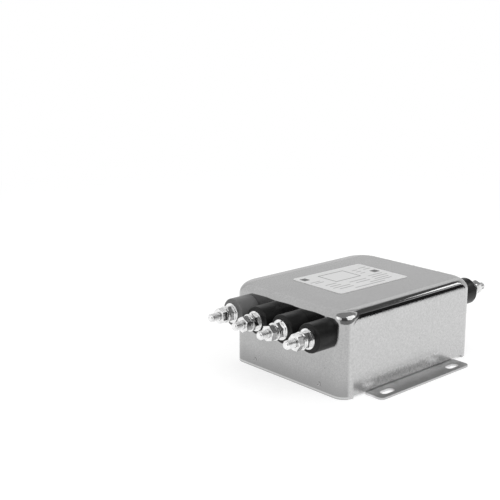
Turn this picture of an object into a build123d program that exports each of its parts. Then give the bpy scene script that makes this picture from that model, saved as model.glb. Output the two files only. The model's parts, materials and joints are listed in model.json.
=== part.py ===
from build123d import *
import math
import os

# A three-phase and neutral line filter in a drawn steel can, in millimetres.
# Origin: middle of the underside. +X runs from the line terminals to the load terminals, +Z up.

# Can
can_length = 137.0
can_height = 59.3
can_wall = 1.0
can_corner_radius = 9.0
can_top_radius = 4.65
can_ball_radius = 8.7
ball_sections = 3
edge_sections = 8

# Base plate with its two mounting flanges
plate_thickness = 1.5
plate_fit = 0.3
flange_from_can_end = 20.3
flange_reach = 15.0
flange_corner_radius = 3.5
flange_relief_radius = 1.2
skirt_leg = 9.25
notch_gap = 0.4
slot_from_flange_end = 12.8
slot_length = 12.0
slot_width = 5.5
slot_from_wall = 8.7

# Folded tabs on the base plate, and the can's punched dimples that lock into them
tab_width = 14.0
tab_height = 11.0
tab_bend_radius = 1.0
tab_spacing = 64.0
dimple_height = 6.0
dimple_radius = 2.4
dimple_depth = 0.7
dimple_fit = 0.15

# Terminals
terminals_per_side = 4
terminal_pitch = 25.0
terminal_to_side = 17.25
terminal_from_top = 16.25
bushing_diameter = 20.0
bushing_length = 16.5
bushing_edge_radius = 1.0
neck_diameter = 12.0
neck_past_wall = 2.0
neck_fit = 0.2
inner_bushing_diameter = 16.0
inner_bushing_length = 6.0
neck_end_gap = 0.3
stud_diameter = 6.0
stud_thread_step = 0.65
stud_fit = 0.15
stud_chamfer = 0.85
stud_tail_outside = 7.4
stud_tail_inside = 1.5

# Nuts and washers on the studs
nut_across_flats = 10.0
nut_thickness = 4.7
nut_chamfer_angle = 30.0
nut_fit = 0.1
washer_fit = 0.2
face_washer_diameter = 14.0
face_washer_thickness = 1.3
flat_washer_diameter = 12.0
flat_washer_thickness = 1.0
spring_washer_diameter = 10.8
spring_washer_thickness = 1.4
spring_washer_slit = 0.8
spring_washer_slant = 20.0

# Ring lugs and the leads that hang from them
lug_diameter = 11.0
lug_thickness = 1.0
lug_barrel_diameter = 4.2
lug_barrel_length = 8.0
lug_barrel_clearance = 0.6
lead_bare_diameter = 2.2
lead_sleeve_diameter = 3.2
lead_fit = 0.1

# Rating label on top
label_length = 70.5
label_width = 50.0
label_thickness = 0.2
label_corner_radius = 2.5
label_x = 0.7
label_y = 4.8
label_turn = -1.5

# Circuit board, its four spacers and screws, and the insulating sheet below it
board_thickness = 1.6
board_end_gap = 1.0
board_side_gap = 3.0
board_corner_radius = 2.0
sheet_thickness = 0.5
sheet_hole_margin = 0.6
spacer_height = 6.5
spacer_across_flats = 5.5
spacer_foot_diameter = 4.0
spacer_fit = 0.05
spacer_from_board_side = 4.5
spacer_from_board_end = 5.5
screw_diameter = 2.9
screw_head_diameter = 5.6
screw_head_height = 2.0
screw_reach = 4.0
screw_hole_spare = 1.0
screw_fit = 0.05
screw_hole_fit = 0.2
solder_tail = 1.5
pin_fit = 0.1

# Choke: a ring core in a two-piece case, wound with four windings
core_outer_radius = 23.5
core_inner_radius = 13.0
core_height = 26.0
core_fit = 0.3
case_wall = 1.2
case_edge_land = 0.1
wire_diameter = 2.3
wire_fit = 0.1
wire_spacing = 0.2
winding_count = 4
winding_to_separator = 0.8
last_lead_step = 3.6
choke_base_thickness = 3.0
choke_base_margin = 1.5
lead_hole_fit = 0.25
separator_thickness = 1.6
separator_fit = 0.1

# Line-to-line capacitors, in a row beside the inner ends of the studs
x_capacitor_count = 3
x_capacitor_depth = 10.0
x_capacitor_height = 19.0
x_capacitor_edge_radius = 1.0
x_capacitor_gap = 3.0
x_capacitor_from_board_side = 8.0
x_capacitor_from_stud = 0.5
x_capacitor_pin_inset = 2.0
pin_diameter = 0.9

# Line-to-earth capacitors
y_capacitor_diameter = 10.0
y_capacitor_thickness = 4.0
y_capacitor_edge_radius = 1.5
y_capacitor_pin_spacing = 7.5
y_capacitor_lift = 1.5
y_capacitor_x = 33.0
small_part_from_board_side = 5.0

# Discharge resistors
resistor_length = 12.0
resistor_diameter = 4.5
resistor_edge_radius = 0.8
resistor_pin_spacing = 17.5
resistor_x = 11.0
resistor_bend_radius = 1.2

# Heights and places that follow from the sizes above
can_width = (terminals_per_side - 1) * terminal_pitch + 2 * terminal_to_side
end_wall = can_length / 2
side_wall = can_width / 2
inside_half_length = end_wall - can_wall
inside_half_width = side_wall - can_wall
flange_length = can_length - 2 * flange_from_can_end
slot_spacing = flange_length - 2 * slot_from_flange_end
plate_half_length = inside_half_length - plate_fit
plate_half_width = inside_half_width - plate_fit
tab_inner_face = plate_half_length - plate_thickness
board_bottom = plate_thickness + spacer_height
board_top = board_bottom + board_thickness
board_half_length = tab_inner_face - board_end_gap
board_half_width = inside_half_width - board_side_gap
spacer_x = board_half_length - spacer_from_board_end
spacer_y = board_half_width - spacer_from_board_side
small_part_y = board_half_width - small_part_from_board_side

terminal_height = can_height - terminal_from_top
stud_shank_diameter = stud_diameter - stud_thread_step
first_nut_start = bushing_length + face_washer_thickness
flat_washer_start = first_nut_start + nut_thickness
spring_washer_start = flat_washer_start + flat_washer_thickness
last_nut_start = spring_washer_start + spring_washer_thickness
last_nut_end = last_nut_start + nut_thickness
lug_face = -(can_wall + inner_bushing_length)
inner_nut_start = lug_face - lug_thickness - nut_thickness
stud_inner_end = inner_nut_start - stud_tail_inside
lug_barrel_start = inner_bushing_diameter / 2 + lug_barrel_clearance
lead_x = end_wall + lug_face - lug_thickness / 2
lead_top = terminal_height - lug_barrel_start

wire_radius = wire_diameter / 2
wire_gap = wire_fit + wire_radius
case_edge_radius = case_wall - case_edge_land
wire_bend_radius = case_edge_radius + wire_gap
bend_offset = wire_bend_radius - math.sqrt(wire_bend_radius**2 - (wire_bend_radius - wire_gap) ** 2)
case_outer_radius = core_outer_radius + core_fit + case_wall
case_inner_radius = core_inner_radius - core_fit - case_wall
outer_leg_radius = case_outer_radius + wire_gap
inner_leg_radius = case_inner_radius - wire_gap
last_lead_radius = outer_leg_radius + last_lead_step
choke_base_radius = last_lead_radius + choke_base_margin
choke_base_top = board_top + choke_base_thickness
lower_wire_z = choke_base_top + wire_gap
case_bottom = lower_wire_z + wire_gap
core_bottom = case_bottom + case_wall + core_fit
tray_top = core_bottom + core_height + core_fit
case_top = tray_top + case_wall
upper_wire_z = case_top + wire_gap

# Turns lie side by side on the inside of the ring, as many as fit between two blades of the separator
winding_share = 360 / winding_count
blade_room = separator_thickness / 2 + winding_to_separator + wire_radius
turn_angle = 2 * math.degrees(math.asin((wire_diameter + wire_spacing) / 2 / inner_leg_radius))
winding_room = winding_share - 2 * math.degrees(math.asin(blade_room / inner_leg_radius))
turns_per_winding = math.floor(winding_room / turn_angle) + 1

x_capacitor_row = end_wall + stud_inner_end - x_capacitor_from_stud - x_capacitor_depth / 2
x_capacitor_span = 2 * (board_half_width - x_capacitor_from_board_side)
x_capacitor_length = (x_capacitor_span + x_capacitor_gap) / x_capacitor_count - x_capacitor_gap
x_capacitor_spacing = x_capacitor_length + x_capacitor_gap
x_capacitor_pin_spacing = x_capacitor_length - 2 * x_capacitor_pin_inset

SIDES = {"line": -1, "load": 1}
BASE = (Align.CENTER, Align.CENTER, Align.MIN)


def disc(diameter, height, z=0.0):
    """A round bar standing on z."""
    return Pos(0, 0, z) * Cylinder(diameter / 2, height, align=BASE)


def ring(diameter, bore, height, z=0.0):
    """A flat ring standing on z."""
    return disc(diameter, height, z) - disc(bore, height, z)


def rounded_block(length, width, height, corner_radius, z=0.0):
    """A plate or block with round upright corners, standing on z."""
    return Pos(0, 0, z) * extrude(RectangleRounded(length, width, corner_radius), height)


def drawn_block(length, width, height, corner_radius, top_radius, ball_radius):
    """A deep-drawn form standing on z = 0: its rounded top edge swells into a ball at each corner."""
    def outline(drop):
        """The form's outline at one depth below its top."""
        at_corner = ball_radius - math.sqrt(ball_radius**2 - (ball_radius - drop) ** 2)
        at_side = top_radius - math.sqrt(top_radius**2 - max(0.0, top_radius - drop) ** 2)
        radius = corner_radius + (at_corner - math.sqrt(2) * at_side) / (math.sqrt(2) - 1)
        return Pos(0, 0, height - drop) * RectangleRounded(length - 2 * at_side, width - 2 * at_side, radius)

    ball_step = (ball_radius - top_radius) / ball_sections
    ball_drops = [ball_radius - ball_step * i for i in range(ball_sections + 1)]
    edge_turns = [math.pi / 2 * i / edge_sections for i in range(edge_sections + 1)]
    edge_drops = [top_radius * (1 - math.sin(turn)) for turn in edge_turns]
    body = extrude(outline(ball_radius), ball_radius - height)
    return body + loft([outline(drop) for drop in ball_drops]) + loft([outline(drop) for drop in edge_drops])


def mirrored_pairs(x, y):
    """The four places that share one distance from each middle plane."""
    return [(sx * x, sy * y) for sx in (-1, 1) for sy in (-1, 1)]


def terminal_rows():
    """Where each terminal lies across the can, from the first phase to the neutral."""
    middle = (terminals_per_side - 1) / 2
    return [(i - middle) * terminal_pitch for i in range(terminals_per_side)]


def terminal_names():
    """Terminal names in the order of terminal_rows: phases first, the neutral last."""
    return [str(i + 1) for i in range(terminals_per_side - 1)] + ["neutral"]


def at_terminal(piece, side, y):
    """Moves a piece from the terminal's own frame (z out of the wall, x down) to its place."""
    turn = Rot(0, 90 * side, 0) * Rot(0, 0, 90 * (1 - side))
    return Pos(side * end_wall, y, terminal_height) * turn * piece


def at_all_terminals(piece):
    """One copy of a fastener at each terminal, as separate solids."""
    copies = [at_terminal(piece, side, y) for side in SIDES.values() for y in terminal_rows()]
    return Compound(children=[copy.solid() for copy in copies])


def dimple(radius):
    """A ball that forms one dimple, at the origin of the wall's outer face, axis along Z."""
    return Pos(0, 0, dimple_radius - dimple_depth) * Sphere(radius)


def at_dimples(piece):
    """Copies of a piece at the four dimples in the terminal walls, its Z axis pointing out."""
    return [
        Pos(side * end_wall, y, dimple_height) * Rot(0, 90 * side, 0) * piece
        for side in SIDES.values()
        for y in (-tab_spacing / 2, tab_spacing / 2)
    ]


def housing_can():
    """The deep-drawn can: closed on top, open below, notched where the flanges come out."""
    shell = drawn_block(
        can_length, can_width, can_height, can_corner_radius, can_top_radius, can_ball_radius
    )
    hollow = drawn_block(
        can_length - 2 * can_wall,
        can_width - 2 * can_wall,
        can_height - can_wall,
        can_corner_radius - can_wall,
        can_top_radius - can_wall,
        can_ball_radius - can_wall,
    )
    bulge = dimple(dimple_radius + can_wall) & Pos(0, 0, -can_wall) * Box(
        4 * dimple_radius, 4 * dimple_radius, 2 * can_wall, align=(Align.CENTER, Align.CENTER, Align.MAX)
    )
    can = shell - hollow
    can += at_dimples(bulge)
    can -= at_dimples(dimple(dimple_radius))
    notch = Box(can_length - 2 * skirt_leg, 2 * can_width, plate_thickness + notch_gap, align=BASE)
    can -= notch
    hole = disc(neck_diameter + 2 * neck_fit, 4 * can_wall, -2 * can_wall)
    can -= [at_terminal(hole, side, y) for side in SIDES.values() for y in terminal_rows()]
    return can


def flange_outline():
    """The flat outline of the strip that carries both flanges, with reliefs at the can's walls."""
    across = 2 * (side_wall + flange_reach)
    strip = RectangleRounded(flange_length, across, flange_corner_radius)
    reliefs = [
        Pos(x, y) * Circle(flange_relief_radius)
        for x, y in mirrored_pairs(flange_length / 2, side_wall - can_wall / 2)
    ]
    return strip - reliefs


def folded_tab():
    """One upturned tab at the end of the plate, drawn as an L section and given its width."""
    outer_radius = tab_bend_radius + plate_thickness
    bend = Pos(plate_half_length - outer_radius, outer_radius)
    section = bend * (Circle(outer_radius) - Circle(tab_bend_radius))
    section &= bend * Rectangle(outer_radius, outer_radius, align=(Align.MIN, Align.MAX))
    section += Pos(tab_inner_face, outer_radius) * Rectangle(
        plate_thickness, tab_height - outer_radius, align=(Align.MIN, Align.MIN)
    )
    return extrude(Plane.XZ * section, tab_width / 2, both=True)


def base_plate():
    """The folded sheet that closes the can and carries the mounting flanges."""
    outer_radius = tab_bend_radius + plate_thickness
    floor = RectangleRounded(
        2 * plate_half_length, 2 * plate_half_width, can_corner_radius - can_wall - plate_fit
    )
    tab_places = [(side, y) for side in SIDES.values() for y in (-tab_spacing / 2, tab_spacing / 2)]
    gaps = [
        Pos(side * plate_half_length, y) * Rectangle(2 * outer_radius, tab_width + plate_thickness)
        for side, y in tab_places
    ]
    outline = floor + flange_outline() - gaps
    outline += [
        Pos(side * (plate_half_length - outer_radius), y) * Rectangle(outer_radius, tab_width)
        - Pos(side * plate_half_length, y) * Rectangle(2 * outer_radius, tab_width)
        for side, y in tab_places
    ]
    slots = [
        Pos(x, y) * SlotOverall(slot_length, slot_width)
        for x, y in mirrored_pairs(slot_spacing / 2, side_wall + slot_from_wall)
    ]
    feet = [Pos(x, y) * Circle(spacer_foot_diameter / 2 + spacer_fit) for x, y in mirrored_pairs(spacer_x, spacer_y)]
    plate = extrude(outline - slots - feet, plate_thickness)
    tab = folded_tab()
    plate += [Pos(0, y, 0) * (tab if side > 0 else mirror(tab, about=Plane.YZ)) for side, y in tab_places]
    plate -= at_dimples(dimple(dimple_radius + can_wall + dimple_fit))
    return plate


def outer_bushing():
    """The turned insulator outside the wall, with the neck that passes through it."""
    neck_length = can_wall + neck_past_wall
    body = disc(bushing_diameter, bushing_length)
    body = fillet(body.edges().sort_by(Axis.Z)[-1], bushing_edge_radius)
    body += disc(neck_diameter, neck_length, -neck_length)
    return body - disc(stud_diameter + 2 * stud_fit, neck_length + bushing_length, -neck_length)


def inner_bushing():
    """The insulator inside the wall, counterbored for the outer bushing's neck."""
    blank = disc(inner_bushing_diameter, inner_bushing_length, lug_face)
    blank -= disc(stud_diameter + 2 * stud_fit, inner_bushing_length, lug_face)
    recess = neck_past_wall + neck_end_gap
    return blank - disc(neck_diameter + 2 * neck_fit, recess, -can_wall - recess)


def stud():
    """A rolled stud: thread diameter at its free ends, and shank diameter where nuts and bushings cover it."""
    free_end = disc(stud_diameter, stud_tail_outside, last_nut_end)
    free_end = chamfer(free_end.edges().sort_by(Axis.Z)[-1], stud_chamfer)
    inner_end = disc(stud_diameter, stud_tail_inside, stud_inner_end)
    inner_end = chamfer(inner_end.edges().sort_by(Axis.Z)[0], stud_chamfer)
    return disc(stud_shank_diameter, last_nut_end - inner_nut_start, inner_nut_start) + free_end + inner_end


def nut():
    """A hexagon nut standing on z = 0, with its corners turned off at both ends."""
    corner_radius = nut_across_flats / 2 / math.cos(math.pi / 6)
    drop = (corner_radius - nut_across_flats / 2) * math.tan(math.radians(nut_chamfer_angle))
    blank = disc(2 * corner_radius, nut_thickness)
    rims = blank.edges().filter_by(GeomType.CIRCLE)
    blank = chamfer(rims, drop, corner_radius - nut_across_flats / 2)
    hexagon = extrude(RegularPolygon(nut_across_flats / 2, 6, major_radius=False), nut_thickness)
    return (hexagon & blank) - disc(stud_shank_diameter + 2 * nut_fit, nut_thickness)


def washer(diameter, thickness):
    """A flat washer for the studs."""
    return ring(diameter, stud_diameter + 2 * washer_fit, thickness)


def spring_washer():
    """A split spring washer, pressed flat, with its slanted slit."""
    body = washer(spring_washer_diameter, spring_washer_thickness)
    slit = Box(spring_washer_diameter, spring_washer_slit, 3 * spring_washer_thickness)
    slit = Pos(spring_washer_diameter / 2, 0, spring_washer_thickness / 2) * Rot(spring_washer_slant, 0, 0) * slit
    return body - slit


def ring_lug():
    """A ring lug with its tongue and crimp barrel hanging down from the stud."""
    plate = disc(lug_diameter, lug_thickness, lug_face - lug_thickness)
    tongue_end = lug_barrel_start + lug_barrel_length / 4
    plate += Pos(0, 0, lug_face - lug_thickness) * Box(
        tongue_end, lug_barrel_diameter, lug_thickness, align=(Align.MIN, Align.CENTER, Align.MIN)
    )
    middle = lug_face - lug_thickness / 2
    barrel = Pos(lug_barrel_start, 0, middle) * Rot(0, 90, 0) * disc(lug_barrel_diameter, lug_barrel_length)
    bore = Pos(lug_barrel_start, 0, middle) * Rot(0, 90, 0)
    bore *= disc(lead_bare_diameter + 2 * lead_fit, lug_barrel_length)
    hole = disc(stud_diameter + 2 * washer_fit, lug_thickness, lug_face - lug_thickness)
    return plate + barrel - bore - hole


def lead(side, y):
    """A sleeved lead from a lug's barrel straight down into the board."""
    bottom = board_bottom - solder_tail
    sleeve_top = lead_top - lug_barrel_length
    core = disc(lead_bare_diameter, lead_top - bottom, bottom)
    sleeve = disc(lead_sleeve_diameter, sleeve_top - board_top, board_top)
    return Pos(side * lead_x, y, 0) * (core + sleeve)


def rating_label():
    """The thin label stuck to the top of the can."""
    blank = rounded_block(label_length, label_width, label_thickness, label_corner_radius, can_height)
    return Pos(label_x, label_y, 0) * Rot(0, 0, label_turn) * blank


def insulating_sheet():
    """The film that lies on the base plate between the folded tabs."""
    half_length = tab_inner_face - tab_bend_radius - sheet_hole_margin
    sheet = rounded_block(
        2 * half_length, 2 * board_half_width, sheet_thickness, board_corner_radius, plate_thickness
    )
    hole = spacer_across_flats / math.cos(math.pi / 6) + 2 * sheet_hole_margin
    return sheet - [
        Pos(x, y, 0) * disc(hole, sheet_thickness, plate_thickness) for x, y in mirrored_pairs(spacer_x, spacer_y)
    ]


def board_spacer():
    """A hexagonal spacer with its foot pressed into the base plate, tapped from above."""
    hexagon = extrude(RegularPolygon(spacer_across_flats / 2, 6, major_radius=False), spacer_height)
    post = Pos(0, 0, plate_thickness) * hexagon + disc(spacer_foot_diameter, plate_thickness)
    depth = screw_reach + screw_hole_spare
    return post - disc(screw_diameter + 2 * screw_fit, depth, board_bottom - depth)


def board_screw():
    """A pan head screw that holds the board on its spacer."""
    head = disc(screw_head_diameter, screw_head_height, board_top)
    head = fillet(head.edges().sort_by(Axis.Z)[-1], screw_head_height / 2)
    return head + disc(screw_diameter, board_thickness + screw_reach, board_bottom - screw_reach)


def at_spacers(piece):
    """One copy of a piece at each board spacer, as separate solids."""
    return Compound(children=[(Pos(x, y, 0) * piece).solid() for x, y in mirrored_pairs(spacer_x, spacer_y)])


def x_capacitor_rows():
    """Where the line-to-line capacitors stand across the can."""
    middle = (x_capacitor_count - 1) / 2
    return [(i - middle) * x_capacitor_spacing for i in range(x_capacitor_count)]


def pin_places():
    """Where every capacitor and resistor pin goes through the board."""
    places = [
        (side * x_capacitor_row, y + end * x_capacitor_pin_spacing / 2)
        for side in SIDES.values()
        for y in x_capacitor_rows()
        for end in (-1, 1)
    ]
    for x, y in mirrored_pairs(y_capacitor_x, small_part_y):
        places += [(x + end * y_capacitor_pin_spacing / 2, y) for end in (-1, 1)]
    for x, y in resistor_places():
        places += [(x + end * resistor_pin_spacing / 2, y) for end in (-1, 1)]
    return places


def resistor_places():
    """The middles of the three discharge resistors."""
    return [(-resistor_x, small_part_y), (resistor_x, small_part_y), (0, -small_part_y)]


def winding_lead_places():
    """Where the first and last lead of each winding go down through the choke base."""
    places = []
    for i in range(winding_count):
        places.append((outer_leg_radius, winding_start(i)))
        places.append((last_lead_radius, winding_start(i) + turns_per_winding * turn_angle))
    return [(r * math.cos(math.radians(a)), r * math.sin(math.radians(a))) for r, a in places]


def circuit_board():
    """The board that carries the choke, capacitors and resistors."""
    board = rounded_block(
        2 * board_half_length, 2 * board_half_width, board_thickness, board_corner_radius, board_bottom
    )
    screw_holes = [(x, y, screw_diameter + 2 * screw_hole_fit) for x, y in mirrored_pairs(spacer_x, spacer_y)]
    pins = [(x, y, pin_diameter + 2 * pin_fit) for x, y in pin_places()]
    leads = [
        (side * lead_x, y, lead_bare_diameter + 2 * lead_fit) for side in SIDES.values() for y in terminal_rows()
    ]
    windings = [(x, y, wire_diameter + 2 * lead_hole_fit) for x, y in winding_lead_places()]
    return board - [
        Pos(x, y, 0) * disc(diameter, board_thickness, board_bottom)
        for x, y, diameter in screw_holes + pins + leads + windings
    ]


def core():
    """The ring core."""
    return ring(2 * core_outer_radius, 2 * core_inner_radius, core_height, core_bottom)


def core_tray():
    """The lower part of the core's case, a ring-shaped trough."""
    blank = ring(2 * case_outer_radius, 2 * case_inner_radius, tray_top - case_bottom, case_bottom)
    blank = fillet(blank.edges().group_by(Axis.Z)[0], case_edge_radius)
    depth = tray_top - case_bottom - case_wall
    trough = ring(
        2 * (case_outer_radius - case_wall), 2 * (case_inner_radius + case_wall), depth, case_bottom + case_wall
    )
    return blank - trough


def core_lid():
    """The flat ring that closes the core's case."""
    blank = ring(2 * case_outer_radius, 2 * case_inner_radius, case_wall, tray_top)
    return fillet(blank.edges().group_by(Axis.Z)[-1], case_edge_radius)


def winding_separator():
    """The cross that keeps the four windings apart in the core's hole."""
    reach = 2 * (case_inner_radius - separator_fit)
    height = upper_wire_z + wire_radius - choke_base_top
    blade = Box(reach, separator_thickness, height, align=BASE)
    return Pos(0, 0, choke_base_top) * (blade + Rot(0, 0, 90) * blade)


def choke_base():
    """The round moulded base that the choke sits on, with a hole for each winding lead."""
    plinth = disc(2 * choke_base_radius, choke_base_thickness, board_top)
    hole = disc(wire_diameter + 2 * (lead_hole_fit + bend_offset), choke_base_thickness, board_top)
    return plinth - [Pos(x, y, 0) * hole for x, y in winding_lead_places()]


def winding_start(index):
    """The angle round the core at which a winding's first lead rises."""
    return (index + 0.5) * winding_share - turns_per_winding * turn_angle / 2


def winding_route(index):
    """Corner points of one winding: up outside, in over the top, down inside and out again."""
    def point(radius, turns, z):
        angle = math.radians(winding_start(index) + turns * turn_angle)
        return (radius * math.cos(angle), radius * math.sin(angle), z)

    lead_end = board_bottom - solder_tail
    points = [point(outer_leg_radius, 0, lead_end)]
    for turn in range(turns_per_winding):
        points.append(point(outer_leg_radius, turn, upper_wire_z))
        points.append(point(inner_leg_radius, turn + 0.5, upper_wire_z))
        points.append(point(inner_leg_radius, turn + 0.5, lower_wire_z))
        if turn < turns_per_winding - 1:
            points.append(point(outer_leg_radius, turn + 1, lower_wire_z))
    points.append(point(last_lead_radius, turns_per_winding, lower_wire_z))
    points.append(point(last_lead_radius, turns_per_winding, lead_end))
    return points


def winding(index):
    """One winding of round wire, bent close round the core's case, with both its leads."""
    route = winding_route(index)
    path = FilletPolyline(*route, radius=wire_bend_radius)
    section = Plane(origin=path @ 0, z_dir=path % 0) * Circle(wire_radius)
    return sweep(section, path=path, transition=Transition.RIGHT)


def x_capacitor(side, y):
    """A boxed film capacitor with its two pins."""
    box = rounded_block(
        x_capacitor_depth, x_capacitor_length, x_capacitor_height, x_capacitor_edge_radius, board_top
    )
    pin_length = board_thickness + solder_tail
    pins = [
        Pos(0, end * x_capacitor_pin_spacing / 2, 0) * disc(pin_diameter, pin_length, board_bottom - solder_tail)
        for end in (-1, 1)
    ]
    return Pos(side * x_capacitor_row, y, 0) * (box + pins)


def y_capacitor(x, y):
    """A dipped disc capacitor standing on its two pins."""
    middle = board_top + y_capacitor_lift + y_capacitor_diameter / 2
    body = Cylinder(y_capacitor_diameter / 2, y_capacitor_thickness)
    body = fillet(body.edges().filter_by(GeomType.CIRCLE), y_capacitor_edge_radius)
    body = Pos(0, 0, middle) * Rot(90, 0, 0) * body
    foot = board_bottom - solder_tail
    pins = [
        Pos(end * y_capacitor_pin_spacing / 2, 0, 0) * disc(pin_diameter, middle - foot, foot) for end in (-1, 1)
    ]
    return Pos(x, y, 0) * (body + pins)


def resistor(x, y):
    """An axial resistor lying on the board, its two wires bent down into it."""
    middle = board_top + resistor_diameter / 2
    body = Cylinder(resistor_diameter / 2, resistor_length)
    body = fillet(body.edges().filter_by(GeomType.CIRCLE), resistor_edge_radius)
    body = Pos(0, 0, middle) * Rot(0, 90, 0) * body
    reach = resistor_pin_spacing / 2
    foot = board_bottom - solder_tail
    route = FilletPolyline(
        (-reach, 0, foot), (-reach, 0, middle), (reach, 0, middle), (reach, 0, foot), radius=resistor_bend_radius
    )
    section = Plane(origin=route @ 0, z_dir=route % 0) * Circle(pin_diameter / 2)
    return Pos(x, y, 0) * (body + sweep(section, path=route))


def build_nodes():
    """Every sub-part by name, in its place."""
    nodes = {
        "housing_can": housing_can(),
        "base_plate": base_plate(),
        "rating_label": rating_label(),
        "insulating_sheet": insulating_sheet(),
        "circuit_board": circuit_board(),
        "board_spacers": at_spacers(board_spacer()),
        "board_screws": at_spacers(board_screw()),
        "choke_core": core(),
        "core_tray": core_tray(),
        "core_lid": core_lid(),
        "winding_separator": winding_separator(),
        "choke_base": choke_base(),
        "inner_bushings": at_all_terminals(inner_bushing()),
        "face_washers": at_all_terminals(
            Pos(0, 0, bushing_length) * washer(face_washer_diameter, face_washer_thickness)
        ),
        "clamp_nuts": at_all_terminals(Pos(0, 0, first_nut_start) * nut()),
        "flat_washers": at_all_terminals(
            Pos(0, 0, flat_washer_start) * washer(flat_washer_diameter, flat_washer_thickness)
        ),
        "spring_washers": at_all_terminals(Pos(0, 0, spring_washer_start) * spring_washer()),
        "terminal_nuts": at_all_terminals(Pos(0, 0, last_nut_start) * nut()),
        "ring_lugs": at_all_terminals(ring_lug()),
        "inner_nuts": at_all_terminals(Pos(0, 0, inner_nut_start) * nut()),
    }
    for side_name, side in SIDES.items():
        for terminal, y in zip(terminal_names(), terminal_rows()):
            nodes[f"{side_name}_bushing_{terminal}"] = at_terminal(outer_bushing(), side, y)
            nodes[f"{side_name}_stud_{terminal}"] = at_terminal(stud(), side, y)
        nodes[f"{side_name}_leads"] = Compound(children=[lead(side, y).solid() for y in terminal_rows()])
        for i, y in enumerate(x_capacitor_rows()):
            nodes[f"{side_name}_x_capacitor_{i + 1}"] = x_capacitor(side, y)
    for i, (x, y) in enumerate(mirrored_pairs(y_capacitor_x, small_part_y)):
        nodes[f"y_capacitor_{i + 1}"] = y_capacitor(x, y)
    for i, (x, y) in enumerate(resistor_places()):
        nodes[f"discharge_resistor_{i + 1}"] = resistor(x, y)
    for i in range(winding_count):
        nodes[f"choke_winding_{i + 1}"] = winding(i)
    return nodes


os.makedirs("parts", exist_ok=True)
for name, piece in build_nodes().items():
    export_step(piece, f"parts/{name}.step")
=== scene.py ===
import json
import math

import bmesh
import bpy
from mathutils import Matrix, Vector


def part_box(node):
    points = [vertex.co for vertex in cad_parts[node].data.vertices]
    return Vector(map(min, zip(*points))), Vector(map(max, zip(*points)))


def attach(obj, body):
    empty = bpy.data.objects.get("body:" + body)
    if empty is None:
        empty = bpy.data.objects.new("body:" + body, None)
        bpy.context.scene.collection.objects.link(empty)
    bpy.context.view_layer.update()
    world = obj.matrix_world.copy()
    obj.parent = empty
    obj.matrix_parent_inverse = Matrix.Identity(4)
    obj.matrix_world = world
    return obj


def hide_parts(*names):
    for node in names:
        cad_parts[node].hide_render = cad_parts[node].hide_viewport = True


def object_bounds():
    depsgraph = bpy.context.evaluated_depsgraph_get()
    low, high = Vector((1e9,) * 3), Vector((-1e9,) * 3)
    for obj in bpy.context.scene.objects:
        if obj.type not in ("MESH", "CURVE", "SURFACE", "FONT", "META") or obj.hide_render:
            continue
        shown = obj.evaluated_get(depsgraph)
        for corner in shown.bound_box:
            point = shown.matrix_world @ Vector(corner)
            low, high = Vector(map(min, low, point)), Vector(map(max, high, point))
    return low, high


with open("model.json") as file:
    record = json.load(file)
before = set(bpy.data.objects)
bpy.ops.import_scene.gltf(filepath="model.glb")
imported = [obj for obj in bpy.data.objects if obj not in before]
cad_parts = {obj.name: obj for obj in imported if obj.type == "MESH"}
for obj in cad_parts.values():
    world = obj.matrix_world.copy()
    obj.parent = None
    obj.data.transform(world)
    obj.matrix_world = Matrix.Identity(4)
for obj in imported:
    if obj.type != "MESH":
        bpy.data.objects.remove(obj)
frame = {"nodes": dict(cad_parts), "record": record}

CAD_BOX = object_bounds()
MM = 0.001

# The two ends of the can, each with the direction along X in which its studs point
SIDES = {"line": -1, "load": 1}
TERMINALS = ("1", "2", "3", "neutral")

# Threads, in millimetres and degrees. The profile gives places along one pitch, as shares of it, and the
# depth there.
THREAD_PITCH = 1.0
THREAD_DEPTH = 0.58
THREAD_PROFILE = ((0.0, 0.0), (0.18, 0.0), (0.5, THREAD_DEPTH), (0.74, THREAD_DEPTH))
THREAD_SEGMENTS = 40
STUD_TIP_CHAMFER = 0.85
STUD_SHANK_RADIUS = 2.675
OUTER_TAIL = 7.4
INNER_TAIL = 1.5
STUD_SHARP_ANGLE = 28

# Nuts and washers, in millimetres and degrees
NUT_ACROSS_FLATS = 10.0
NUT_CORNER_ROUND = 0.35
NUT_FACE_RADIUS = 4.75
NUT_FACE_SLOPE = 30
NUT_FACE_LEAST = 0.02
NUT_SINK_RADIUS = 3.15
NUT_SINK_DEPTH = 0.4
NUT_BORE_RADIUS = 2.775
NUT_SEGMENTS = 72
NUT_THICKNESS = 4.7
NUT_SHARP_ANGLE = 25
WASHER_EDGE = 0.16
WASHER_SHARP_ANGLE = 40

# How far each nut is turned on its stud, in degrees
NUT_TURNS = {
    "clamp_nuts": {"line": (8, 25, -14, 18), "load": (4, 40, -20, 12)},
    "terminal_nuts": {"line": (-6, 15, 28, -22), "load": (22, -12, 35, 6)},
}

# New meshes, in millimetres: points closer than the first are welded, and edges shorter than the second go
WELD_DISTANCE = 0.002
LEAST_EDGE = 0.001

# The can's drawn edge, in millimetres below its top: smooth down to the first depth, satin from the second
EDGE_DEPTH = 5.2
EDGE_FADE_DEPTH = 18.2

# A paler strip along the top's two long edges, in millimetres from the long wall: a painted highlight.
# The photograph shows it. What made it isn't known.
TOP_HIGHLIGHT_STRIP = (3.4, 8.5)

# The part of each long wall that mirrors the flange, in millimetres: its height and its stretch along X.
# The mirrored flange comes out darker here than in the photograph, and a paler tone makes up for it.
REFLECTION_STRIP_HEIGHT = (2.0, 11.0)
REFLECTION_STRIP_STRETCH = (-50.0, 30.0)

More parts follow.
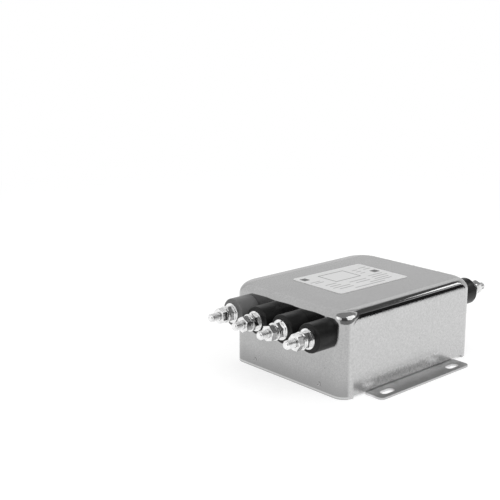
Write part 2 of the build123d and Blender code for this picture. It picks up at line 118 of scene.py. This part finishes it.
# The can's tones, from 0 to 1: the end walls and the top, the long walls (paler, painted light), and the
# patches on them (painted shade, painted highlights, a painted reflection, speckle and pits)
CAN_TONES = (0.451, 0.481)
CAN_LIT_LONG_WALL = 0.605
CAN_END_FOOT_SHADE = 0.3
CAN_TOP_HIGHLIGHT = 0.629
CAN_REFLECTION_STRIP = 0.92
CAN_SPECKLE = 0.311
CAN_RIM_HIGHLIGHT = 0.592
CAN_PIT = 0.12

# The base plate's tones: its inner part (paler, painted light), its outer edges (darker, painted shade), its
# stains and its grain
PLATE_LIT_INNER = 0.97
PLATE_SHADED_OUTER = 0.6
PLATE_STAIN = 0.62
PLATE_GRAIN = 0.46

# The label's print, in millimetres from its own middle and along it: plain bars, no words.
# The frame and the blocks are left, right, bottom and top. A row is its start, its end and its middle height.
LABEL_MIDDLE = (0.7, 4.8)
LABEL_TURN = -1.5
LABEL_FRAME = (-15.5, 10.5, -1.0, 18.5)
LABEL_FRAME_LINE = 0.8
LABEL_BLOCKS = ((-32.0, -26.5, 14.6, 20.4), (25.5, 31.5, -0.6, 5.2))
LABEL_ROWS = (
    (-32.5, -23.0, 8.0), (-30.5, -22.0, 5.0),
    (24.0, 32.0, 15.0), (25.0, 32.5, 10.5),
    (15.0, 21.0, 13.0), (15.0, 20.5, 8.5), (15.0, 20.0, 4.0),
    (-28.5, -17.5, -3.2), (-28.5, -17.5, -7.6), (-29.5, -12.5, -11.8), (-27.0, -13.0, -15.8),
    (-9.0, 8.5, -7.8), (-6.5, 8.0, -12.0), (-16.0, 15.0, -20.5),
    (14.0, 29.0, -4.6), (13.5, 30.0, -8.8), (12.0, 27.0, -13.0), (3.0, 26.0, -16.8),
)
LABEL_ROW_HEIGHT = 1.1
LABEL_ROW_INK = 0.62
LABEL_PRINT_EDGE = 0.15
LABEL_PAPER = (0.66, 0.7)
LABEL_INK = 0.1

# The floor, in metres: its half width, how far it lies below the object, and where it turns to plain white
FLOOR_HALF = 6.0
FLOOR_DROP = 0.00005
FLOOR_FADE = (0.25, 0.9)
# The floor's paper as the light on the object meets it, and the softer paper and its glow that show
FLOOR_PAPER = 0.8
FLOOR_SHOWN_PAPER = 0.4
FLOOR_SHOWN_GLOW = 0.7

# How strongly the room lights the object, where 1 is white
ROOM_LIGHT = 0.8

# The upright cards round the object, in metres. "run" is where a card starts and ends, seen from above, and
# "rise" its foot and head. "change" gives the heights between which its lower tone turns into its upper one.
# "ends", on the card that has them, are the places along X beyond which it fades out.
CARDS = {
    "edge_card": {
        "run": ((-0.055, -0.085), (0.145, -0.085)), "rise": (0.0393, 0.0736),
        "change": (0.0, 0.1), "tones": (0.015, 0.015), "ends": (-0.036, 0.125),
    },
    "right_card": {
        "run": ((0.5, -1.5), (0.5, 0.2)), "rise": (0.0, 0.9),
        "change": (0.22, 0.38), "tones": (0.75, 0.12),
    },
    "front_card": {
        "run": ((-1.3, -0.2), (0.5, -1.5)), "rise": (0.0, 1.3),
        "change": (0.4, 0.6), "tones": (0.3, 0.1),
    },
    "back_card": {
        "run": ((0.5, 0.2), (-0.15, 0.75)), "rise": (0.0, 0.34),
        "change": (0.1, 0.2), "tones": (0.8, 0.8),
    },
    "corner_card": {
        "run": ((0.5, 0.19), (0.36, 0.31)), "rise": (0.0, 0.62),
        "change": (0.31, 0.4), "tones": (0.8, 0.42),
    },
}
CARD_FADE = 0.014

# The level card overhead, in metres: its stretch along X and along Y, its height and its tone
OVERHEAD_X = (-1.2, 0.6)
OVERHEAD_Y = (-1.1, 0.3)
OVERHEAD_HEIGHT = 1.3
OVERHEAD_TONE = 0.42

# The lamps: place and width in metres, power in watts
LAMPS = {
    "high_lamp": ((-0.06, -0.78, 0.88), 0.7, 2.7),
    "left_lamp": ((-0.8, -0.1, 0.6), 0.4, 0.6),
    "right_lamp": ((0.362, -0.158, 0.279), 0.09, 0.06),
}

# The photograph's viewpoint: place in metres, direction in degrees, lens and film width in millimetres
CAMERA_PLACE = Vector((-0.494126, -0.441457, 0.240044))
CAMERA_AZIMUTH = -41.6242
CAMERA_ELEVATION = 13.5453
CAMERA_LENS = 67.468
CAMERA_NEAREST = 0.01
FILM_WIDTH = 36.0


class Signal:
    """What one socket gives out. Sums written with it become Math nodes."""

    def __init__(self, finish, socket):
        self.finish = finish
        self.socket = socket

    def __add__(self, other):
        return self.finish.sum("ADD", self, other)

    __radd__ = __add__

    def __sub__(self, other):
        return self.finish.sum("SUBTRACT", self, other)

    def __rsub__(self, other):
        return self.finish.sum("SUBTRACT", other, self)

    def __mul__(self, other):
        return self.finish.sum("MULTIPLY", self, other)

    __rmul__ = __mul__

    def __truediv__(self, other):
        return self.finish.sum("DIVIDE", self, other)

    def __abs__(self):
        return self.finish.sum("ABSOLUTE", self, 0.0)


class Finish:
    """A node tree for one finish, filled by the functions below."""

    def __init__(self, tree):
        self.tree = tree
        tree.nodes.clear()

    def node(self, kind, settings=None, sockets=None, output=0):
        """Adds one node: its settings first, then the value or link of each socket."""
        made = self.tree.nodes.new(kind)
        for name, value in (settings or {}).items():
            setattr(made, name, value)
        for name, value in (sockets or {}).items():
            if isinstance(value, Signal):
                self.tree.links.new(value.socket, made.inputs[name])
            else:
                made.inputs[name].default_value = value
        return Signal(self, made.outputs[output]) if made.outputs else None

    def sum(self, operation, first, second):
        """One Math node."""
        return self.node("ShaderNodeMath", {"operation": operation}, {0: first, 1: second})

    def place(self):
        """Where a point lies, in metres, in the object's own frame."""
        return self.node("ShaderNodeTexCoord", output="Object")

    def axes(self, vector):
        """The three numbers of a vector."""
        return [self.node("ShaderNodeSeparateXYZ", {}, {"Vector": vector}, axis) for axis in "XYZ"]

    def stretched(self, vector, x, y, z):
        """A vector with each axis scaled by itself."""
        return self.node("ShaderNodeVectorMath", {"operation": "MULTIPLY"}, {0: vector, 1: (x, y, z)})

    def noise(self, vector, size_mm, detail, roughness):
        """Soft random clouds, about size_mm across."""
        sockets = {"Vector": vector, "Scale": 1.0 / (size_mm * MM), "Detail": detail, "Roughness": roughness}
        return self.node("ShaderNodeTexNoise", {"normalize": True}, sockets, "Fac")

    def cells(self, vector, size_mm):
        """How far a point is from the middle of its random cell. The cells are about size_mm across."""
        sockets = {"Vector": vector, "Scale": 1.0 / (size_mm * MM)}
        return self.node("ShaderNodeTexVoronoi", {"feature": "F1"}, sockets, "Distance")

    def spread(self, value, low, high, new_low=0.0, new_high=1.0):
        """Brings a value from one range to another, and keeps it there."""
        sockets = {"Value": value, "From Min": low, "From Max": high, "To Min": new_low, "To Max": new_high}
        return self.node("ShaderNodeMapRange", {"clamp": True}, sockets)

    def soft_step(self, value, low, high):
        """0 below low, 1 above high, with a soft change between them."""
        sockets = {"Value": value, "From Min": low, "From Max": high}
        return self.node("ShaderNodeMapRange", {"interpolation_type": "SMOOTHSTEP"}, sockets)

    def band(self, value, low, high, edge):
        """1 between low and high, 0 outside, with edges as soft as edge."""
        past_low = self.soft_step(value, low - edge, low + edge)
        past_high = self.soft_step(value, high - edge, high + edge)
        return past_low * (1 - past_high)

    def mixed(self, mask, colour_a, colour_b):
        """colour_a where the mask is 0, colour_b where it is 1."""
        return self.node("ShaderNodeMix", {"data_type": "RGBA"}, {0: mask, 6: colour_a, 7: colour_b}, 2)

    def bump(self, height, distance_mm):
        """Surface relief from a height of 0 to 1."""
        return self.node("ShaderNodeBump", {}, {"Height": height, "Distance": distance_mm * MM})

    def shown(self):
        """1 for what the eye sees, straight, in metal or through glass, and 0 for light on the object."""
        rays = ("Is Camera Ray", "Is Glossy Ray", "Is Transmission Ray")
        straight, mirrored, through = [self.node("ShaderNodeLightPath", output=ray) for ray in rays]
        return self.sum("MINIMUM", straight + mirrored + through, 1.0)

    def surface(self, sockets):
        """Ends the finish in one plain surface shader."""
        shader = self.node("ShaderNodeBsdfPrincipled", {}, sockets)
        self.node("ShaderNodeOutputMaterial", {}, {"Surface": shader})


def grey(level):
    """An opaque neutral colour."""
    return (level, level, level, 1.0)


def finish_named(name):
    """A new material and the finish that fills its node tree."""
    material = bpy.data.materials.new(name)
    material.use_nodes = True
    return material, Finish(material.node_tree)


def drawn_steel():
    """The can: tinned sheet, satin on the flats, smooth round its drawn edge, paler on its long walls as
    painted light, with painted shade and painted highlights in its tone.
    """
    material, steel = finish_named("drawn_steel")
    spot = steel.place()
    x, y, z = steel.axes(spot)
    top_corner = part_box("housing_can")[1]
    depth = (top_corner.z - z) / MM
    height = z / MM
    from_side = (top_corner.y - abs(y)) / MM

    grain = steel.noise(spot, size_mm=1.1, detail=3.0, roughness=0.6)
    mottle = steel.noise(spot, size_mm=2.6, detail=3.0, roughness=0.6)
    smudge = steel.noise(spot, size_mm=22.0, detail=3.0, roughness=0.55)
    pits = 1 - steel.soft_step(steel.cells(spot, size_mm=16.0), 0.012, 0.03)

    drawn_edge = steel.soft_step(depth, 0.05, 0.3) * (1 - steel.soft_step(depth, EDGE_DEPTH, EDGE_FADE_DEPTH))
    # Painted highlight: a paler band just above the can's bottom edge.
    rim_highlight = steel.band(height, 0.5, 1.7, edge=0.3)
    handled = 1 - steel.soft_step(height, 8.0, 20.0)
    long_wall = 1 - steel.soft_step(from_side, 0.5, 1.5)
    # Painted shade: the end walls darken towards their foot, as the shadowed floor would darken them in
    # reflection.
    end_foot_shade = (1 - steel.soft_step(height, 1.0, 18.0)) * (1 - long_wall)
    # Painted highlight: a paler strip on the flat top along its long edges.
    top_highlight = steel.band(from_side, *TOP_HIGHLIGHT_STRIP, edge=0.6) * (1 - steel.soft_step(depth, 0.1, 0.5))
    # Painted reflection: a paler, more mottled strip low on the long walls where they mirror the flange.
    reflection_strip = steel.band(height, *REFLECTION_STRIP_HEIGHT, edge=1.5) * long_wall
    reflection_strip = reflection_strip * steel.band(x / MM, *REFLECTION_STRIP_STRETCH, edge=6.0)

    tone = steel.mixed(steel.soft_step(smudge, 0.35, 0.7), grey(CAN_TONES[0]), grey(CAN_TONES[1]))
    # Painted light: the long walls get a paler tone than the end walls and the top, as if more light fell on
    # them.
    tone = steel.mixed(long_wall, tone, grey(CAN_LIT_LONG_WALL))
    tone = steel.mixed(end_foot_shade * 0.75, tone, grey(CAN_END_FOOT_SHADE))
    tone = steel.mixed(top_highlight * 0.8, tone, grey(CAN_TOP_HIGHLIGHT))
    tone = steel.mixed(reflection_strip * 0.9, tone, grey(CAN_REFLECTION_STRIP))
    speckle = steel.spread(grain, 0.35, 0.65) * (0.4 - long_wall * 0.12)
    speckle = speckle + steel.spread(mottle, 0.35, 0.65) * (0.1 + reflection_strip * 0.28)
    tone = steel.mixed(speckle, tone, grey(CAN_SPECKLE))
    tone = steel.mixed(rim_highlight, tone, grey(CAN_RIM_HIGHLIGHT))
    steel.surface({
        "Base Color": steel.mixed(pits, tone, grey(CAN_PIT)),
        "Metallic": 1.0,
        "Roughness": steel.spread(smudge, 0.3, 0.7, 0.21, 0.25) + handled * 0.03 - drawn_edge * 0.14,
        "Normal": steel.bump(grain * 0.5 + mottle * 0.5 - pits * 0.6, distance_mm=0.015),
    })
    return material


def plate_steel():
    """The folded base plate: the same sheet, rubbed along its length, painted paler near the can and darker
    along its outer edges as painted light and shade.
    """
    material, steel = finish_named("plate_steel")
    spot = steel.place()
    y = steel.axes(spot)[1]
    rubbed = steel.noise(steel.stretched(spot, 0.12, 1.0, 1.0), size_mm=1.4, detail=3.0, roughness=0.65)
    grain = steel.noise(spot, size_mm=0.8, detail=3.0, roughness=0.6)
    stain = steel.noise(spot, size_mm=9.0, detail=4.0, roughness=0.6)
    from_edge = (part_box("base_plate")[1].y - abs(y)) / MM
    # Painted light and shade: the plate is paler near the can's walls and darker towards its outer edges.
    outer = 1 - steel.soft_step(from_edge + (stain - 0.5) * 8, 3.0, 12.0)
    tone = steel.mixed(outer, grey(PLATE_LIT_INNER), grey(PLATE_SHADED_OUTER))
    tone = steel.mixed(steel.soft_step(stain, 0.45, 0.7) * 0.5, tone, grey(PLATE_STAIN))
    tone = steel.mixed(steel.spread(grain, 0.3, 0.7) * 0.25, tone, grey(PLATE_GRAIN))
    steel.surface({
        "Base Color": tone,
        "Metallic": 1.0,
        "Roughness": steel.spread(rubbed, 0.3, 0.7, 0.44, 0.56),
        "Normal": steel.bump(grain * 0.4 + rubbed * 0.6, distance_mm=0.012),
    })
    return material


def bright_zinc():
    """Studs, nuts and washers: bright zinc with tiny tumbling marks and duller patches."""
    material, zinc = finish_named("bright_zinc")
    spot = zinc.place()
    marks = zinc.noise(spot, size_mm=0.35, detail=3.0, roughness=0.6)
    patches = zinc.noise(spot, size_mm=2.2, detail=2.0, roughness=0.5)
    zinc.surface({
        "Base Color": zinc.mixed(zinc.soft_step(patches, 0.35, 0.7), grey(0.88), grey(0.74)),
        "Metallic": 1.0,
        "Roughness": zinc.spread(patches, 0.3, 0.7, 0.08, 0.2),
        "Normal": zinc.bump(marks, distance_mm=0.01),
    })
    return material


def moulded_insulator(name, tone, gloss):
    """A smooth moulded insulator: faint flow marks, finger dulling and fine dust."""
    material, resin = finish_named(name)
    spot = resin.place()
    flow = resin.noise(resin.stretched(spot, 0.3, 1.0, 1.0), size_mm=4.0, detail=2.0, roughness=0.5)
    specks = resin.noise(spot, size_mm=0.7, detail=4.0, roughness=0.7)
    dust = resin.soft_step(specks, 0.62, 0.78)
    skin = resin.noise(spot, size_mm=0.5, detail=2.0, roughness=0.5)
    dusty_tone = tone * 1.25 + 0.006
    resin.surface({
        "Base Color": resin.mixed(dust, grey(tone), grey(dusty_tone)),
        "Roughness": resin.spread(flow, 0.3, 0.7, 0.27, 0.36),
        "Specular IOR Level": gloss,
        "Normal": resin.bump(skin, distance_mm=0.004),
    })
    return material


def label_film():
    """The rating label: pale satin film with an empty frame, blocks and plain bars, and no words."""
    material, film = finish_named("label_film")
    spot = film.place()
    x, y = film.axes(spot)[:2]
    turn = math.radians(LABEL_TURN)
    across = x / MM - LABEL_MIDDLE[0]
    upward = y / MM - LABEL_MIDDLE[1]
    along = across * math.cos(turn) + upward * math.sin(turn)
    above = upward * math.cos(turn) - across * math.sin(turn)

    def box(left, right, bottom, top):
        """1 inside one printed box, 0 outside."""
        width = film.band(along, left, right, LABEL_PRINT_EDGE)
        return width * film.band(above, bottom, top, LABEL_PRINT_EDGE)

    left, right, bottom, top = LABEL_FRAME
    line = LABEL_FRAME_LINE
    ink = box(left, right, bottom, top) - box(left + line, right - line, bottom + line, top - line)
    for block in LABEL_BLOCKS:
        ink = ink + box(*block)
    half_row = LABEL_ROW_HEIGHT / 2
    for start, end, middle in LABEL_ROWS:
        ink = ink + box(start, end, middle - half_row, middle + half_row) * LABEL_ROW_INK
    fibres = film.noise(spot, size_mm=0.6, detail=3.0, roughness=0.6)
    paper = film.mixed(fibres, grey(LABEL_PAPER[0]), grey(LABEL_PAPER[1]))
    film.surface({
        "Base Color": film.mixed(ink, paper, grey(LABEL_INK)),
        "Roughness": film.spread(fibres, 0.3, 0.7, 0.42, 0.5),
        "Normal": film.bump(fibres, distance_mm=0.004),
    })
    return material


def coloured_plastic(name, colour, roughness=0.45, mottle=0.12):
    """A plain moulded, dipped or lacquered finish for a piece inside the can."""
    material, resin = finish_named(name)
    spot = resin.place()
    cloud = resin.noise(spot, size_mm=3.0, detail=3.0, roughness=0.55)
    skin = resin.noise(spot, size_mm=0.5, detail=2.0, roughness=0.5)
    darker = tuple(c * (1 - mottle) for c in colour) + (1.0,)
    lighter = tuple(min(1.0, c * (1 + mottle)) for c in colour) + (1.0,)
    resin.surface({
        "Base Color": resin.mixed(cloud, darker, lighter),
        "Roughness": resin.spread(cloud, 0.3, 0.7, roughness - 0.06, roughness + 0.06),
        "Normal": resin.bump(skin, distance_mm=0.006),
    })
    return material


def coloured_metal(name, colour, roughness=0.28):
    """Plain drawn or tinned copper for a piece inside the can."""
    material, metal = finish_named(name)
    cloud = metal.noise(metal.place(), size_mm=2.0, detail=3.0, roughness=0.55)
    darker = tuple(c * 0.85 for c in colour) + (1.0,)
    metal.surface({
        "Base Color": metal.mixed(cloud, darker, colour + (1.0,)),
        "Metallic": 1.0,
        "Roughness": metal.spread(cloud, 0.3, 0.7, roughness - 0.06, roughness + 0.06),
        "Normal": metal.bump(cloud, distance_mm=0.01),
    })
    return material


def dress_all():
    """One finish for every CAD piece, by the slot that the record gives it."""
    finishes = {
        "can_steel": drawn_steel(),
        "plate_steel": plate_steel(),
        "hardware_steel": bright_zinc(),
        "black_insulator": moulded_insulator("black_insulator", 0.009, 0.22),
        "grey_insulator": moulded_insulator("grey_insulator", 0.13, 0.4),
        "label_film": label_film(),
        "insulating_film": coloured_plastic("insulating_film", (0.72, 0.68, 0.5), 0.4, 0.05),
        "board_laminate": coloured_plastic("board_laminate", (0.08, 0.24, 0.1), 0.35),
        "tinned_copper": coloured_metal("tinned_copper", (0.72, 0.71, 0.68)),
        "enamelled_copper": coloured_metal("enamelled_copper", (0.62, 0.27, 0.1), 0.2),
        "lead_sleeve": coloured_plastic("lead_sleeve", (0.03, 0.03, 0.03), 0.5),
        "ferrite": coloured_plastic("ferrite", (0.06, 0.06, 0.065), 0.6),
        "case_moulding": coloured_plastic("case_moulding", (0.06, 0.1, 0.27)),
        "separator_moulding": coloured_plastic("separator_moulding", (0.75, 0.74, 0.7), 0.45, 0.04),
        "capacitor_box": coloured_plastic("capacitor_box", (0.72, 0.56, 0.1), 0.4, 0.06),
        "disc_capacitor": coloured_plastic("disc_capacitor", (0.07, 0.2, 0.48), 0.3),
        "resistor_body": coloured_plastic("resistor_body", (0.48, 0.45, 0.36), 0.55),
    }
    for subpart in frame["record"]["subparts"]:
        slots = frame["nodes"][subpart["node"]].data.materials
        slots.clear()
        slots.append(finishes[subpart["material_slot"]])
    return finishes


def circle(radius, z, segments):
    """One circle of points round the Z axis."""
    angles = [2 * math.pi * k / segments for k in range(segments)]
    return [(radius * math.cos(a), radius * math.sin(a), z) for a in angles]


def skin_of_rings(name, rings, closed):
    """A mesh through rings of points. Closed, its last ring joins its first. Open, both ends are capped."""
    count = len(rings[0])
    points = [point for ring in rings for point in ring]
    faces = []
    last = len(rings) if closed else len(rings) - 1
    for i in range(last):
        j = (i + 1) % len(rings)
        for k in range(count):
            n = (k + 1) % count
            faces.append((i * count + k, i * count + n, j * count + n, j * count + k))
    if not closed:
        faces.append(tuple(reversed(range(count))))
        faces.append(tuple((len(rings) - 1) * count + k for k in range(count)))
    mesh = bpy.data.meshes.new(name)
    mesh.from_pydata(points, [], faces)
    return mesh


def tidy_mesh(mesh, sharp_degrees):
    """Welds doubled points, shades the mesh smooth and keeps its true edges sharp."""
    work = bmesh.new()
    work.from_mesh(mesh)
    bmesh.ops.remove_doubles(work, verts=work.verts, dist=WELD_DISTANCE * MM)
    bmesh.ops.dissolve_degenerate(work, dist=LEAST_EDGE * MM, edges=work.edges)
    bmesh.ops.recalc_face_normals(work, faces=work.faces)
    work.to_mesh(mesh)
    work.free()
    for face in mesh.polygons:
        face.use_smooth = True
    mesh.set_sharp_from_angle(angle=math.radians(sharp_degrees))


def object_from(mesh):
    """A mesh as an object in the scene."""
    made = bpy.data.objects.new(mesh.name, mesh)
    bpy.context.scene.collection.objects.link(made)
    return made


def along_stud(side):
    """Turns what was built along Z so that it points out of one end of the can."""
    return Matrix.Rotation(math.radians(90 * side), 4, "Y")


def threaded_stretch(start, end, radius, chamfered_end):
    """Rings of a helical thread from start to end along Z, chamfered at one end (-1, 1)."""
    rings = []
    turns = math.ceil((end - start) / THREAD_PITCH) + 1
    for turn in range(-1, turns):
        for offset, depth in THREAD_PROFILE:
            ring = []
            for k in range(THREAD_SEGMENTS):
                share = k / THREAD_SEGMENTS
                z = start + (turn + offset + share) * THREAD_PITCH
                z = min(max(z, start), end)
                to_tip = end - z if chamfered_end > 0 else z - start
                reach = min(radius - depth, radius - STUD_TIP_CHAMFER + to_tip)
                angle = 2 * math.pi * share
                ring.append((reach * math.cos(angle), reach * math.sin(angle), z))
            rings.append(ring)
    return rings


def threaded_stud(node, side):
    """A stud with its real thread at both free ends, in the place of the plain one."""
    low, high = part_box(node)
    length = (high.x - low.x) / MM
    radius = (high.y - low.y) / 2 / MM
    outer_start = length - OUTER_TAIL - THREAD_PITCH / 2
    inner = threaded_stretch(0.0, INNER_TAIL, radius, -1)
    outer = threaded_stretch(outer_start, length, radius, 1)
    shank = [circle(STUD_SHANK_RADIUS, z, THREAD_SEGMENTS) for z in (INNER_TAIL, outer_start)]
    mesh = skin_of_rings(node + "_threaded", inner + shank + outer, closed=False)
    middle = (low + high) / 2
    inner_end = low.x if side > 0 else high.x
    place = Matrix.Translation((inner_end, middle.y, middle.z))
    mesh.transform(place @ along_stud(side) @ Matrix.Scale(MM, 4))
    tidy_mesh(mesh, STUD_SHARP_ANGLE)
    stud = object_from(mesh)
    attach(stud, "root")
    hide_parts(node)
    return stud


def hexagon_reach(angle):
    """How far a hexagon with rounded corners reaches at an angle, in millimetres."""
    half = NUT_ACROSS_FLATS / 2
    sixth = math.pi / 3
    from_flat = (angle + sixth / 2) % sixth - sixth / 2
    from_corner = sixth / 2 - abs(from_flat)
    centre = (half - NUT_CORNER_ROUND) / math.cos(sixth / 2)
    touch = math.atan2(NUT_CORNER_ROUND * 0.5, centre + NUT_CORNER_ROUND * math.cos(sixth / 2))
    if from_corner < touch:
        across = centre * math.sin(from_corner)
        return centre * math.cos(from_corner) + math.sqrt(NUT_CORNER_ROUND**2 - across**2)
    return half / math.cos(from_flat)


def nut_rings():
    """Rings of one nut from its bore, over the chamfered face, down the flats and back."""
    angles = [2 * math.pi * k / NUT_SEGMENTS for k in range(NUT_SEGMENTS)]
    slope = math.tan(math.radians(NUT_FACE_SLOPE))

    def shoulder(near_start):
        """Where the chamfered face meets the flats, at the nut's start or at its far end."""
        ring = []
        for angle in angles:
            reach = hexagon_reach(angle)
            drop = max(reach - NUT_FACE_RADIUS, NUT_FACE_LEAST) * slope
            z = drop if near_start else NUT_THICKNESS - drop
            ring.append((reach * math.cos(angle), reach * math.sin(angle), z))
        return ring

    return [
        circle(NUT_BORE_RADIUS, NUT_THICKNESS - NUT_SINK_DEPTH, NUT_SEGMENTS),
        circle(NUT_SINK_RADIUS, NUT_THICKNESS, NUT_SEGMENTS),
        circle(NUT_FACE_RADIUS, NUT_THICKNESS, NUT_SEGMENTS),
        shoulder(near_start=False),
        shoulder(near_start=True),
        circle(NUT_FACE_RADIUS, 0.0, NUT_SEGMENTS),
        circle(NUT_SINK_RADIUS, 0.0, NUT_SEGMENTS),
        circle(NUT_BORE_RADIUS, NUT_SINK_DEPTH, NUT_SEGMENTS),
    ]


def nuts_in_place(node, turns):
    """All the nuts of one CAD group as one mesh, each turned by its own angle about its stud."""
    low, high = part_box(node)
    points, faces = [], []
    for side_name, side in SIDES.items():
        start = high.x - NUT_THICKNESS * MM if side > 0 else low.x + NUT_THICKNESS * MM
        for terminal, degrees in zip(TERMINALS, turns[side_name]):
            stud_low, stud_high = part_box(f"{side_name}_stud_{terminal}")
            middle = (stud_low + stud_high) / 2
            place = Matrix.Translation((start, middle.y, middle.z))
            roll = Matrix.Rotation(math.radians(degrees), 4, "Z")
            mesh = skin_of_rings("one_nut", nut_rings(), closed=True)
            mesh.transform(place @ along_stud(side) @ roll @ Matrix.Scale(MM, 4))
            base = len(points)
            points += [tuple(v.co) for v in mesh.vertices]
            faces += [tuple(base + i for i in face.vertices) for face in mesh.polygons]
            bpy.data.meshes.remove(mesh)
    group = bpy.data.meshes.new(node + "_chamfered")
    group.from_pydata(points, [], faces)
    tidy_mesh(group, NUT_SHARP_ANGLE)
    nuts = object_from(group)
    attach(nuts, "root")
    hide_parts(node)
    return nuts


def soften_edges(node):
    """Takes the razor edge off a group of washers with a narrow bevel."""
    bevel = frame["nodes"][node].modifiers.new("softened_edges", "BEVEL")
    bevel.width = WASHER_EDGE * MM
    bevel.segments = 2
    bevel.limit_method = "ANGLE"
    bevel.angle_limit = math.radians(WASHER_SHARP_ANGLE)
    bevel.harden_normals = False


def hardware(zinc):
    """Threaded studs, chamfered nuts, and washers with softened edges."""
    for side_name, side in SIDES.items():
        for terminal in TERMINALS:
            threaded_stud(f"{side_name}_stud_{terminal}", side).data.materials.append(zinc)
    for node, turns in NUT_TURNS.items():
        nuts_in_place(node, turns).data.materials.append(zinc)
    for node in ("face_washers", "flat_washers", "spring_washers"):
        soften_edges(node)


def staged_sheet(name, corners, material):
    """A flat sheet of the stage: the floor or a card."""
    mesh = bpy.data.meshes.new(name)
    mesh.from_pydata(corners, [], [(0, 1, 2, 3)])
    mesh.materials.append(material)
    sheet = object_from(mesh)
    return sheet


def level_sheet(x_ends, y_ends, height):
    """The corners of a level sheet."""
    return [(x_ends[i], y_ends[j], height) for i, j in ((0, 0), (1, 0), (1, 1), (0, 1))]


def floor():
    """A plain white sheet that keeps the object's shadow and turns to plain white far away."""
    material, white = finish_named("floor_white")
    away = white.node("ShaderNodeVectorMath", {"operation": "LENGTH"}, {0: white.place()}, "Value")
    far = white.soft_step(away, *FLOOR_FADE)
    paper = white.node("ShaderNodeBsdfDiffuse", {}, {"Color": grey(FLOOR_PAPER)})
    shown_paper = white.node("ShaderNodeBsdfDiffuse", {}, {"Color": grey(FLOOR_SHOWN_PAPER)})
    shown_glow = white.node("ShaderNodeEmission", {}, {"Color": grey(1.0), "Strength": FLOOR_SHOWN_GLOW})
    plain_white = white.node("ShaderNodeEmission", {}, {"Color": grey(1.0), "Strength": 1.0})
    near = white.node("ShaderNodeAddShader", {}, {0: shown_paper, 1: shown_glow})
    visible = white.node("ShaderNodeMixShader", {}, {0: far, 1: near, 2: plain_white})
    both = white.node("ShaderNodeMixShader", {}, {0: white.shown(), 1: paper, 2: visible})
    white.node("ShaderNodeOutputMaterial", {}, {"Surface": both})
    ends = (-FLOOR_HALF, FLOOR_HALF)
    staged_sheet("floor", level_sheet(ends, ends, -FLOOR_DROP), material)


def card(name, corners, tones, change=(0.0, 1.0), ends=None):
    """A card that shows only in mirroring surfaces. Its lower tone turns softly into its upper one."""
    material, paper = finish_named(name)
    across, _, height = paper.axes(paper.place())
    rise = paper.soft_step(height, *change)
    sockets = {
        "Base Color": grey(0.0),
        "Specular IOR Level": 0.0,
        "Emission Color": paper.mixed(rise, grey(tones[0]), grey(tones[1])),
        "Emission Strength": 1.0,
    }
    if ends:
        sockets["Alpha"] = paper.band(across, *ends, CARD_FADE)
    paper.surface(sockets)
    sheet = staged_sheet(name, corners, material)
    sheet.visible_camera = False
    sheet.visible_diffuse = False
    sheet.visible_shadow = False


def cards():
    """Cards of grey and black round and over the object, which give the metal its darker sides."""
    for name, facts in CARDS.items():
        start, end = facts["run"]
        foot, head = facts["rise"]
        corners = [(*start, foot), (*end, foot), (*end, head), (*start, head)]
        card(name, corners, facts["tones"], facts["change"], facts.get("ends"))
    overhead = level_sheet(OVERHEAD_X, OVERHEAD_Y, OVERHEAD_HEIGHT)
    card("overhead_card", overhead, (OVERHEAD_TONE, OVERHEAD_TONE))


def studio_world():
    """The room: white to the eye and in metal, and soft light on the object."""
    world = bpy.data.worlds.new("studio")
    world.use_nodes = True
    bpy.context.scene.world = world
    room = Finish(world.node_tree)
    shown = room.shown()
    level = shown + (1 - shown) * ROOM_LIGHT
    glow = room.node("ShaderNodeBackground", {}, {"Color": grey(1.0), "Strength": level})
    room.node("ShaderNodeOutputWorld", {}, {"Surface": glow})


def lamps():
    """Soft square lamps that face the object: a large one in front, two weak ones at the sides."""
    middle = (CAD_BOX[0] + CAD_BOX[1]) / 2
    for name, (place, width, power) in LAMPS.items():
        light = bpy.data.lights.new(name, "AREA")
        light.shape = "SQUARE"
        light.size = width
        light.energy = power
        body = bpy.data.objects.new(name, light)
        bpy.context.scene.collection.objects.link(body)
        body.location = place
        body.rotation_euler = (Vector(place) - middle).to_track_quat("Z", "Y").to_euler()


def photo_camera():
    """The camera at the photograph's viewpoint."""
    azimuth = math.radians(CAMERA_AZIMUTH)
    elevation = math.radians(CAMERA_ELEVATION)
    back = Vector((
        math.sin(azimuth) * math.cos(elevation),
        -math.cos(azimuth) * math.cos(elevation),
        math.sin(elevation),
    ))
    lens = bpy.data.cameras.new("photo_camera")
    lens.sensor_width = FILM_WIDTH
    lens.lens = CAMERA_LENS
    lens.clip_start = CAMERA_NEAREST
    camera = bpy.data.objects.new("photo_camera", lens)
    bpy.context.scene.collection.objects.link(camera)
    camera.location = CAMERA_PLACE
    camera.rotation_euler = back.to_track_quat("Z", "Y").to_euler()
    bpy.context.scene.camera = camera


finishes = dress_all()
hardware(finishes["hardware_steel"])
floor()
cards()
studio_world()
lamps()
photo_camera()
bpy.context.scene.view_settings.view_transform = "Standard"
